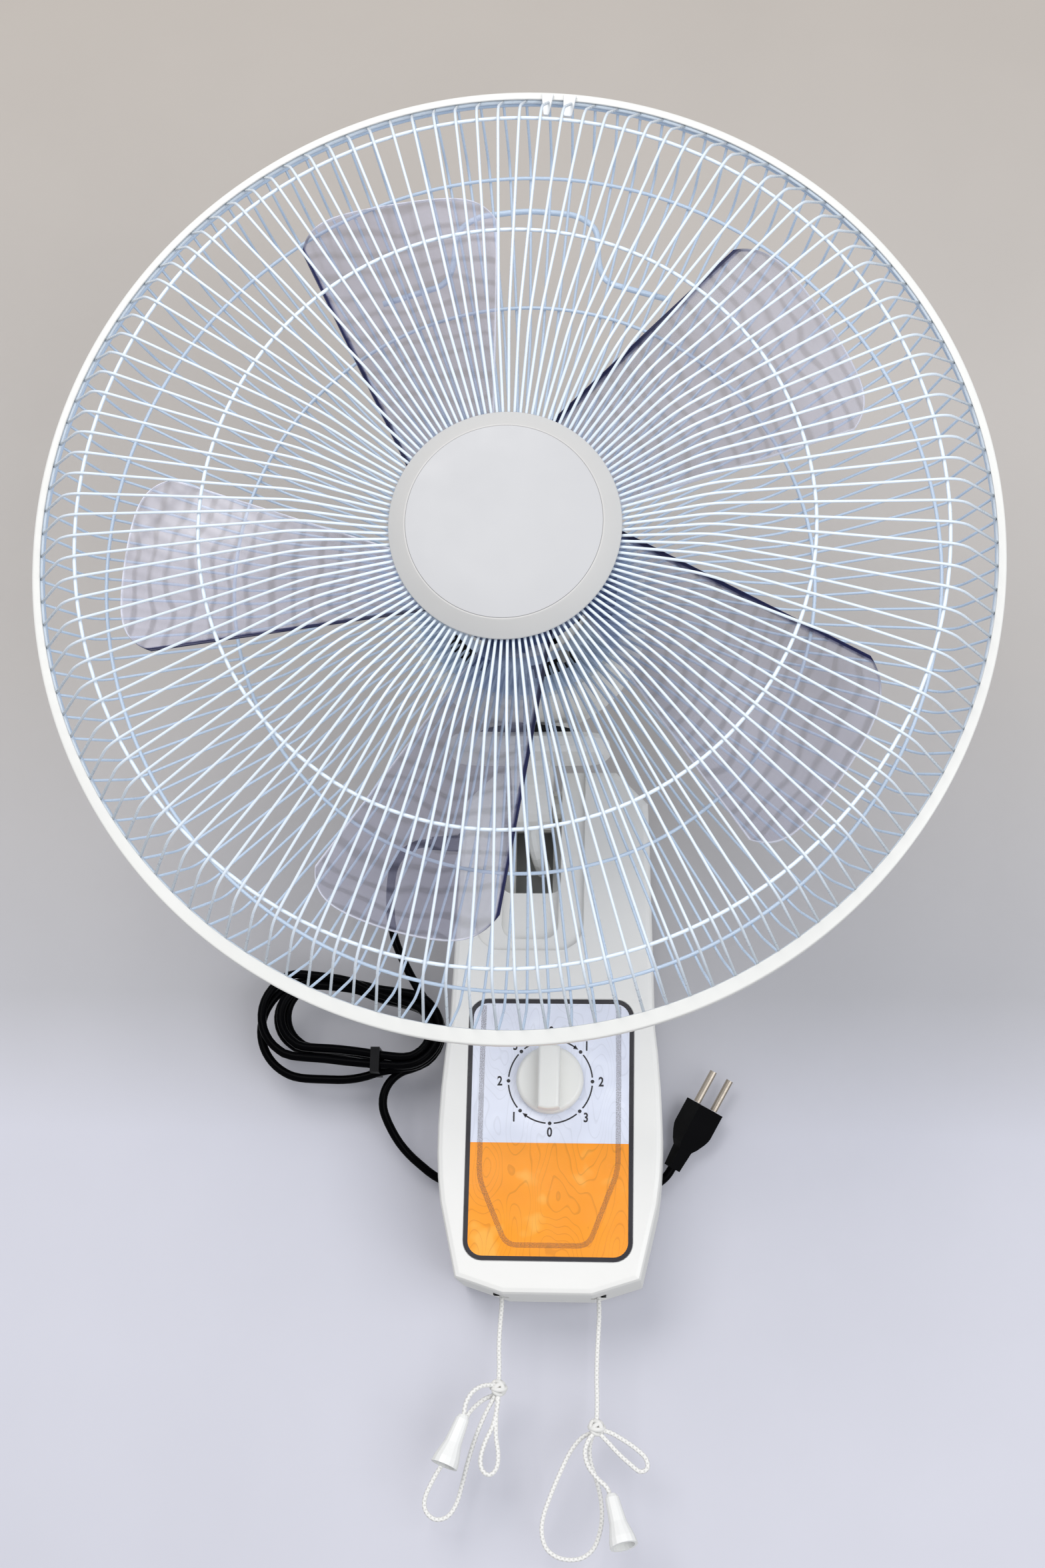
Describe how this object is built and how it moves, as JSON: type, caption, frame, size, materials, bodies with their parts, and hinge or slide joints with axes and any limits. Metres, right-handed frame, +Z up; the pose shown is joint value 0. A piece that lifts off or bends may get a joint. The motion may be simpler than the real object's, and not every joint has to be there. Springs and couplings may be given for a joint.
{
  "type": "wall mounted fan",
  "caption": "Wall fan with a clear bladed impeller in a round wire guard, on a tilting, swinging neck above a slim base with a speed dial, pull cords and a tied mains cord.",
  "frame": {"origin": "on the wall, at the middle of the rear face of the wall bracket", "axes": "+Z up, +Y into the wall, so the fan blows towards -Y; +X to the right as seen from the front"},
  "size_m": [0.4798, 0.3043, 0.7153],
  "materials": {
    "base_plastic": "moulded cream plastic, satin gloss",
    "guard_paint": "white powder-coated steel wire",
    "rim_plastic": "white moulded plastic",
    "cap_plastic": "light grey moulded plastic",
    "label_sheet": "printed plastic sheet, left bare",
    "knob_plastic": "off-white moulded plastic",
    "blade_plastic": "clear blue-grey moulded plastic",
    "black_cord": "black flexible sheath",
    "black_plastic": "black moulded plastic",
    "grey_plastic": "grey moulded plastic",
    "white_plastic": "white moulded plastic",
    "white_braid": "white braided cord",
    "steel": "turned steel",
    "zinc_plate": "zinc-plated pressed steel",
    "brass": "turned brass",
    "winding": "varnished copper winding on a steel core"
  },
  "bodies": {
    "base": {"wall_bracket": "zinc_plate", "back_plate": "grey_plastic", "base_shell": "base_plastic", "label_panel": "label_sheet", "rotary_switch": "grey_plastic", "tilt_bolt": "steel", "tilt_nut": "steel", "tilt_spacer_left": "zinc_plate", "tilt_spacer_right": "zinc_plate", "speed_pull_switch": "grey_plastic", "swing_pull_switch": "grey_plastic", "cord_gland": "black_cord", "mains_cord": "black_cord", "mains_hank": "black_cord", "hank_tie": "black_plastic", "plug_cord": "black_cord", "plug_body": "black_plastic", "plug_pin_left": "brass", "plug_pin_right": "brass"},
    "neck": {"neck": "base_plastic", "lead_sleeve": "white_plastic", "swing_pin": "steel", "swing_washer": "black_plastic"},
    "head": {"motor_front_housing": "base_plastic", "motor_rear_cover": "base_plastic", "stator": "winding", "front_bearing": "brass", "rear_bearing": "brass", "bearing_bridge": "zinc_plate", "swing_motor": "steel", "rear_guard": "guard_paint", "rear_ring_inner": "guard_paint", "rear_ring_outer": "guard_paint", "guard_loop": "guard_paint", "guard_screw_1": "zinc_plate", "guard_screw_2": "zinc_plate", "guard_screw_3": "zinc_plate", "front_guard": "guard_paint", "front_ring_inner": "guard_paint", "front_ring_outer": "guard_paint", "rim_band": "rim_plastic", "guard_clip_left": "rim_plastic", "guard_clip_right": "rim_plastic", "hub_cap": "cap_plastic", "hub_disc": "cap_plastic"},
    "impeller": {"impeller": "blade_plastic", "spinner_nut": "cap_plastic", "motor_shaft": "steel", "rotor": "steel", "drive_pin": "steel"},
    "knob": {"switch_spindle": "brass", "speed_knob": "knob_plastic"},
    "speed_pull": {"speed_pull_rod": "white_plastic", "speed_cord": "white_braid", "speed_bow": "white_braid", "speed_bell": "white_plastic"},
    "swing_pull": {"swing_pull_rod": "white_plastic", "swing_cord": "white_braid", "swing_bow": "white_braid", "swing_bell": "white_plastic"}
  },
  "joints": [
    {"name": "tilt", "type": "hinge", "parent": "base", "child": "neck", "pos_m": [-0.013, -0.046, 0.096], "axis": [1, 0, 0], "range_deg": [-24, 16]},
    {"name": "swing", "type": "hinge", "parent": "neck", "child": "head", "pos_m": [-0.013, -0.08638, 0.12466], "axis": [0, -0.1392, 0.9903], "range_deg": [-40, 40]},
    {"name": "blade_spin", "type": "hinge", "parent": "head", "child": "impeller", "pos_m": [-0.013, -0.23052, 0.17307], "axis": [0, -0.9903, -0.1392], "continuous": true},
    {"name": "knob_turn", "type": "hinge", "parent": "base", "child": "knob", "pos_m": [0, -0.066, -0.06], "axis": [0, -1, 0], "continuous": true},
    {"name": "speed_pull", "type": "slide", "parent": "base", "child": "speed_pull", "axis": [0, 0, -1], "range_m": [0, 0.014], "stiffness_N_per_m": 300, "springref_m": -0.004},
    {"name": "swing_pull", "type": "slide", "parent": "base", "child": "swing_pull", "axis": [0, 0, -1], "range_m": [0, 0.014], "stiffness_N_per_m": 300, "springref_m": -0.004}
  ]
}
